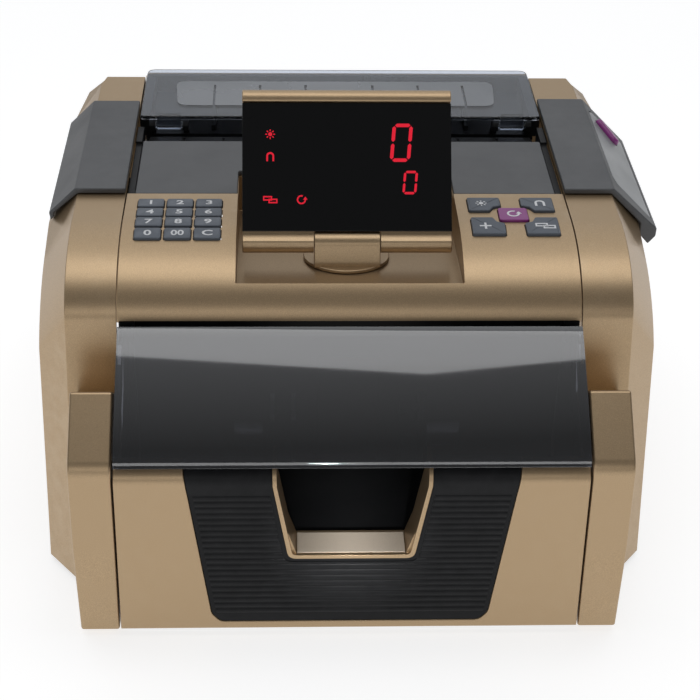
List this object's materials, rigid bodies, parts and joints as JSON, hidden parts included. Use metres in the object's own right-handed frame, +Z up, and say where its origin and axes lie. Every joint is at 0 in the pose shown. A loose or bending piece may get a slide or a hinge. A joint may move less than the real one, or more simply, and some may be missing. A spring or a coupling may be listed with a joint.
{
  "type": "banknote counting machine",
  "caption": "Table-top banknote counter with a smoked stacker hood, rear hopper lid, key pads and a tilting, swivelling display.",
  "frame": {"origin": "centre of the footprint, on the surface the feet stand on", "axes": "+X to the machine's right as seen from the front, +Y to the rear, +Z up"},
  "size_m": [0.291, 0.2794, 0.2106],
  "materials": {
    "gold_paint": "satin champagne-gold metallic paint on moulded plastic",
    "grey_plastic": "dark grey fine-textured moulded plastic",
    "black_plastic": "black moulded plastic, satin",
    "smoked_hood": "smoked transparent acrylic",
    "smoked_lid": "lightly smoked transparent acrylic",
    "light_grey_plate": "light grey satin plate",
    "grey_key": "grey key caps with white marks",
    "purple_key": "purple satin key cap",
    "screen_glass": "black glossy display window",
    "steel": "zinc-plated sheet and ground shafts",
    "rubber": "black rubber",
    "circuit_board": "green circuit board with parts"
  },
  "bodies": {
    "housing": {"base_pan": "steel", "control_board": "circuit_board", "drive_belt": "rubber", "drive_motor": "steel", "feed_bed": "black_plastic", "finger_cutout_trim": "gold_paint", "foot_front_left": "rubber", "foot_front_right": "rubber", "foot_rear_left": "rubber", "foot_rear_right": "rubber", "front_panel": "gold_paint", "hopper_front_cover": "grey_plastic", "hopper_tray": "black_plastic", "left_frame_plate": "steel", "left_shoulder_cover": "grey_plastic", "left_side_shell": "gold_paint", "pod_inset_plate": "light_grey_plate", "power_inlet": "black_plastic", "power_supply": "steel", "rear_cover": "gold_paint", "ribbed_insert": "black_plastic", "right_frame_plate": "steel", "right_shoulder_pod": "grey_plastic", "right_side_shell": "gold_paint", "stacker_backplate": "black_plastic", "stacker_tray": "black_plastic", "top_panel": "gold_paint"},
    "display_base": {"display_turntable": "gold_paint"},
    "display": {"display_housing": "gold_paint", "display_window": "screen_glass"},
    "hood": {"stacker_hood": "smoked_hood"},
    "lid": {"hopper_lid": "smoked_lid"},
    "pickup_drive": {"pickup_shaft": "steel", "pickup_roller_left": "rubber", "pickup_roller_right": "rubber"},
    "feed_drive": {"feed_shaft": "steel", "feed_roller_left": "rubber", "feed_roller_right": "rubber"},
    "stacker_drive": {"stacker_shaft": "steel", "stacker_impeller_left": "rubber", "stacker_impeller_right": "rubber"},
    "motor_rotor": {"motor_pulley": "steel"},
    "power_button_cap": {"power_button": "purple_key"},
    "key_1_cap": {"key_1": "grey_key"},
    "key_2_cap": {"key_2": "grey_key"},
    "key_3_cap": {"key_3": "grey_key"},
    "key_4_cap": {"key_4": "grey_key"},
    "key_5_cap": {"key_5": "grey_key"},
    "key_6_cap": {"key_6": "grey_key"},
    "key_7_cap": {"key_7": "grey_key"},
    "key_8_cap": {"key_8": "grey_key"},
    "key_9_cap": {"key_9": "grey_key"},
    "key_0_cap": {"key_0": "grey_key"},
    "key_double_zero_cap": {"key_double_zero": "grey_key"},
    "key_clear_cap": {"key_clear": "grey_key"},
    "key_ultraviolet_cap": {"key_ultraviolet": "grey_key"},
    "key_magnetic_cap": {"key_magnetic": "grey_key"},
    "key_add_cap": {"key_add": "grey_key"},
    "key_double_detect_cap": {"key_double_detect": "grey_key"},
    "key_reset_cap": {"key_reset": "purple_key"}
  },
  "joints": [
    {"name": "display_swivel", "type": "hinge", "parent": "housing", "child": "display_base", "pos_m": [-0.0052, -0.0395, 0.14043], "axis": [0, 0.0872, 0.9962], "range_deg": [0, 180]},
    {"name": "display_tilt", "type": "hinge", "parent": "display_base", "child": "display", "pos_m": [-0.0052, -0.0465, 0.1518], "axis": [1, 0, 0], "range_deg": [-43, 40]},
    {"name": "hood_lift", "type": "hinge", "parent": "housing", "child": "hood", "pos_m": [-0.0045, -0.087, 0.1252], "axis": [-1, 0, 0], "range_deg": [0, 90]},
    {"name": "lid_lift", "type": "hinge", "parent": "housing", "child": "lid", "pos_m": [-0.0045, 0.079, 0.1546], "axis": [1, 0, 0], "range_deg": [0, 80]},
    {"name": "feed_spin", "type": "hinge", "parent": "housing", "child": "feed_drive", "pos_m": [-0.0045, 0.0605, 0.118], "axis": [1, 0, 0], "continuous": true},
    {"name": "pickup_spin", "type": "hinge", "parent": "housing", "child": "pickup_drive", "pos_m": [-0.0045, 0.1005, 0.1385], "axis": [1, 0, 0], "continuous": true},
    {"name": "stacker_spin", "type": "hinge", "parent": "housing", "child": "stacker_drive", "pos_m": [-0.0045, -0.0445, 0.062], "axis": [1, 0, 0], "continuous": true},
    {"name": "motor_spin", "type": "hinge", "parent": "housing", "child": "motor_rotor", "pos_m": [-0.0045, 0.0505, 0.04], "axis": [1, 0, 0], "continuous": true},
    {"name": "power_button_press", "type": "slide", "parent": "housing", "child": "power_button_cap", "axis": [-0.6824, 0, -0.7309], "range_m": [0, 0.001], "stiffness_N_per_m": 300},
    {"name": "key_1_press", "type": "slide", "parent": "housing", "child": "key_1_cap", "axis": [0, 0, -1], "range_m": [0, 0.001], "stiffness_N_per_m": 300},
    {"name": "key_2_press", "type": "slide", "parent": "housing", "child": "key_2_cap", "axis": [0, 0, -1], "range_m": [0, 0.001], "stiffness_N_per_m": 300},
    {"name": "key_3_press", "type": "slide", "parent": "housing", "child": "key_3_cap", "axis": [0, 0, -1], "range_m": [0, 0.001], "stiffness_N_per_m": 300},
    {"name": "key_4_press", "type": "slide", "parent": "housing", "child": "key_4_cap", "axis": [0, 0, -1], "range_m": [0, 0.001], "stiffness_N_per_m": 300},
    {"name": "key_5_press", "type": "slide", "parent": "housing", "child": "key_5_cap", "axis": [0, 0, -1], "range_m": [0, 0.001], "stiffness_N_per_m": 300},
    {"name": "key_6_press", "type": "slide", "parent": "housing", "child": "key_6_cap", "axis": [0, 0, -1], "range_m": [0, 0.001], "stiffness_N_per_m": 300},
    {"name": "key_7_press", "type": "slide", "parent": "housing", "child": "key_7_cap", "axis": [0, 0.0379, -0.9993], "range_m": [0, 0.001], "stiffness_N_per_m": 300},
    {"name": "key_8_press", "type": "slide", "parent": "housing", "child": "key_8_cap", "axis": [0, 0.0379, -0.9993], "range_m": [0, 0.001], "stiffness_N_per_m": 300},
    {"name": "key_9_press", "type": "slide", "parent": "housing", "child": "key_9_cap", "axis": [0, 0.0379, -0.9993], "range_m": [0, 0.001], "stiffness_N_per_m": 300},
    {"name": "key_0_press", "type": "slide", "parent": "housing", "child": "key_0_cap", "axis": [0, 0.147, -0.9891], "range_m": [0, 0.001], "stiffness_N_per_m": 300},
    {"name": "key_double_zero_press", "type": "slide", "parent": "housing", "child": "key_double_zero_cap", "axis": [0, 0.147, -0.9891], "range_m": [0, 0.001], "stiffness_N_per_m": 300},
    {"name": "key_clear_press", "type": "slide", "parent": "housing", "child": "key_clear_cap", "axis": [0, 0.147, -0.9891], "range_m": [0, 0.001], "stiffness_N_per_m": 300},
    {"name": "key_ultraviolet_press", "type": "slide", "parent": "housing", "child": "key_ultraviolet_cap", "axis": [0, 0, -1], "range_m": [0, 0.001], "stiffness_N_per_m": 300},
    {"name": "key_magnetic_press", "type": "slide", "parent": "housing", "child": "key_magnetic_cap", "axis": [0, 0, -1], "range_m": [0, 0.001], "stiffness_N_per_m": 300},
    {"name": "key_add_press", "type": "slide", "parent": "housing", "child": "key_add_cap", "axis": [0, 0.0745, -0.9972], "range_m": [0, 0.001], "stiffness_N_per_m": 300},
    {"name": "key_double_detect_press", "type": "slide", "parent": "housing", "child": "key_double_detect_cap", "axis": [0, 0.0745, -0.9972], "range_m": [0, 0.001], "stiffness_N_per_m": 300},
    {"name": "key_reset_press", "type": "slide", "parent": "housing", "child": "key_reset_cap", "axis": [0, 0, -1], "range_m": [0, 0.001], "stiffness_N_per_m": 300}
  ],
  "couplings": [
    {"joint": "pickup_spin", "follows": "feed_spin", "ratio": 1},
    {"joint": "stacker_spin", "follows": "feed_spin", "ratio": 0.25},
    {"joint": "motor_spin", "follows": "feed_spin", "ratio": 1.5}
  ]
}
